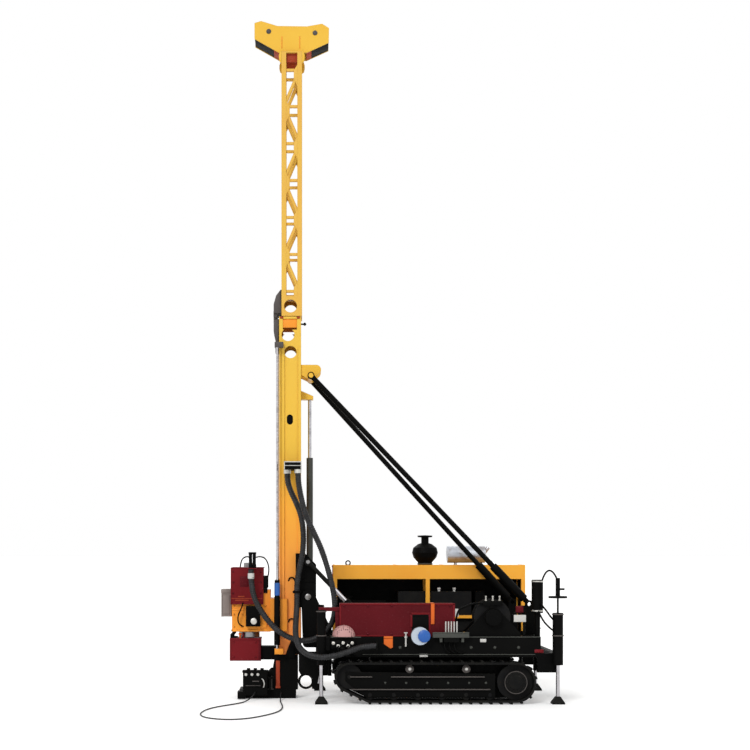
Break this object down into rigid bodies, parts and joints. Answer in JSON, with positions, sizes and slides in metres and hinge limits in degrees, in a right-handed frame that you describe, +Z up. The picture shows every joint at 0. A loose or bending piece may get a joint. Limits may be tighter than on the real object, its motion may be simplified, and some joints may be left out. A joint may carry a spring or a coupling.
{
  "type": "crawler core drilling rig",
  "caption": "Tracked core drilling rig with a tilting, sliding box mast, folding lattice top, feed head, braces, jacks, winch and power pack.",
  "frame": {"origin": "on the ground under the middle of the tracks", "axes": "+X to the machine's rear, -X to the mast, -Y to the control side, +Z up"},
  "size_m": [5.1573, 4.0829, 10.068],
  "materials": {
    "yellow_paint": "gloss enamel",
    "orange_paint": "gloss enamel",
    "maroon_paint": "satin enamel",
    "black_paint": "satin enamel",
    "grey_paint": "satin enamel",
    "blue_paint": "gloss enamel",
    "chrome_rod": "polished",
    "spindle_steel": "turned",
    "cast_iron": "cast",
    "track_steel": "worn",
    "bright_aluminium": "sheet",
    "hose_rubber": "sheathed"
  },
  "bodies": {
    "chassis": {"chassis_frame": "black_paint", "track_loop_near": "track_steel", "track_loop_far": "track_steel", "track_wheels_near": "black_paint", "track_wheels_far": "black_paint", "track_frame_near": "black_paint", "track_frame_far": "black_paint", "jack_barrels": "black_paint", "raise_barrels": "black_paint", "power_canopy": "yellow_paint", "canopy_panels": "black_paint", "engine_block": "cast_iron", "radiator": "black_paint", "oil_tank": "black_paint", "air_cleaner": "black_paint", "muffler": "bright_aluminium", "control_cabinet": "maroon_paint", "oil_filter": "blue_paint", "valve_bank": "black_paint", "winch_frame": "black_paint", "rear_stack": "black_paint", "hand_valve": "black_paint", "hose_chassis": "hose_rubber"},
    "carriage": {"mast_carriage": "black_paint", "slide_barrel": "black_paint", "hose_carriage": "hose_rubber"},
    "mast": {"mast_box": "orange_paint", "mast_foot": "black_paint", "rod_clamp": "maroon_paint", "pedal_box": "black_paint", "feed_rods": "chrome_rod", "slide_rod": "chrome_rod", "brace_bracket": "orange_paint", "fold_hinge_lower": "grey_paint", "hose_head": "hose_rubber", "ground_cable": "hose_rubber"},
    "mast_top": {"mast_lattice": "yellow_paint", "fold_hinge_upper": "grey_paint", "crown_block": "yellow_paint"},
    "head": {"head_housing": "yellow_paint", "head_guard": "maroon_paint", "head_panel": "grey_paint", "head_motor": "black_paint", "feed_barrels": "black_paint"},
    "spindle": {"drill_spindle": "spindle_steel"},
    "sheave_front": {"sheave_front": "cast_iron"},
    "sheave_rear": {"sheave_rear": "cast_iron"},
    "winch": {"winch_drum": "cast_iron"},
    "raise_rod_near": {"raise_rod_near": "chrome_rod"},
    "brace_near": {"brace_near": "black_paint"},
    "jack_front_near": {"jack_leg_front_near": "chrome_rod"},
    "jack_rear_near": {"jack_leg_rear_near": "chrome_rod"},
    "raise_rod_far": {"raise_rod_far": "chrome_rod"},
    "brace_far": {"brace_far": "black_paint"},
    "jack_front_far": {"jack_leg_front_far": "chrome_rod"},
    "jack_rear_far": {"jack_leg_rear_far": "chrome_rod"}
  },
  "joints": [
    {"name": "mast_tilt", "type": "hinge", "parent": "chassis", "child": "carriage", "pos_m": [-1.822, 0, 1.508], "axis": [0, 1, 0], "range_deg": [0, 90], "deforming": ["hose_chassis"]},
    {"name": "mast_slide", "type": "slide", "parent": "carriage", "child": "mast", "axis": [0, 0, 1], "range_m": [0, 0.9], "deforming": ["hose_carriage"]},
    {"name": "mast_top_fold", "type": "hinge", "parent": "mast", "child": "mast_top", "pos_m": [-2.305, 0, 5.67], "axis": [0, -1, 0], "range_deg": [0, 100]},
    {"name": "head_feed", "type": "slide", "parent": "mast", "child": "head", "axis": [0, 0, 1], "range_m": [0, 2.9], "deforming": ["hose_head"]},
    {"name": "spindle_spin", "type": "hinge", "parent": "head", "child": "spindle", "pos_m": [-2.7, 0, 1.45], "axis": [0, 0, 1], "continuous": true},
    {"name": "sheave_front_spin", "type": "hinge", "parent": "mast_top", "child": "sheave_front", "pos_m": [-2.406, 0, 9.913], "axis": [0, 1, 0], "continuous": true},
    {"name": "sheave_rear_spin", "type": "hinge", "parent": "mast_top", "child": "sheave_rear", "pos_m": [-1.717, 0, 9.89], "axis": [0, 1, 0], "continuous": true},
    {"name": "winch_spin", "type": "hinge", "parent": "chassis", "child": "winch", "pos_m": [0.834, -0.7, 1.232], "axis": [0, 1, 0], "continuous": true},
    {"name": "jack_front_near_lift", "type": "slide", "parent": "chassis", "child": "jack_front_near", "axis": [0, 0, 1], "range_m": [0, 0.35]},
    {"name": "jack_rear_near_lift", "type": "slide", "parent": "chassis", "child": "jack_rear_near", "axis": [0, 0, 1], "range_m": [0, 0.35]},
    {"name": "raise_rod_near_slide", "type": "slide", "parent": "chassis", "child": "raise_rod_near", "axis": [-0.694, 0, 0.7199], "range_m": [-0.73, 0]},
    {"name": "brace_near_swing", "type": "hinge", "parent": "mast", "child": "brace_near", "pos_m": [-1.7775, -0.3, 4.781], "axis": [0, -1, 0], "range_deg": [0, 137]},
    {"name": "jack_front_far_lift", "type": "slide", "parent": "chassis", "child": "jack_front_far", "axis": [0, 0, 1], "range_m": [0, 0.35]},
    {"name": "jack_rear_far_lift", "type": "slide", "parent": "chassis", "child": "jack_rear_far", "axis": [0, 0, 1], "range_m": [0, 0.35]},
    {"name": "raise_rod_far_slide", "type": "slide", "parent": "chassis", "child": "raise_rod_far", "axis": [-0.694, 0, 0.7199], "range_m": [-0.73, 0]},
    {"name": "brace_far_swing", "type": "hinge", "parent": "mast", "child": "brace_far", "pos_m": [-1.7775, 0.3, 4.781], "axis": [0, -1, 0], "range_deg": [0, 137]}
  ],
  "couplings": [
    {"joint": "raise_rod_near_slide", "follows": "mast_tilt", "m_per_rad": -0.46353},
    {"joint": "brace_near_swing", "follows": "mast_tilt", "ratio": 1.51},
    {"joint": "raise_rod_far_slide", "follows": "mast_tilt", "m_per_rad": -0.46353},
    {"joint": "brace_far_swing", "follows": "mast_tilt", "ratio": 1.51}
  ]
}
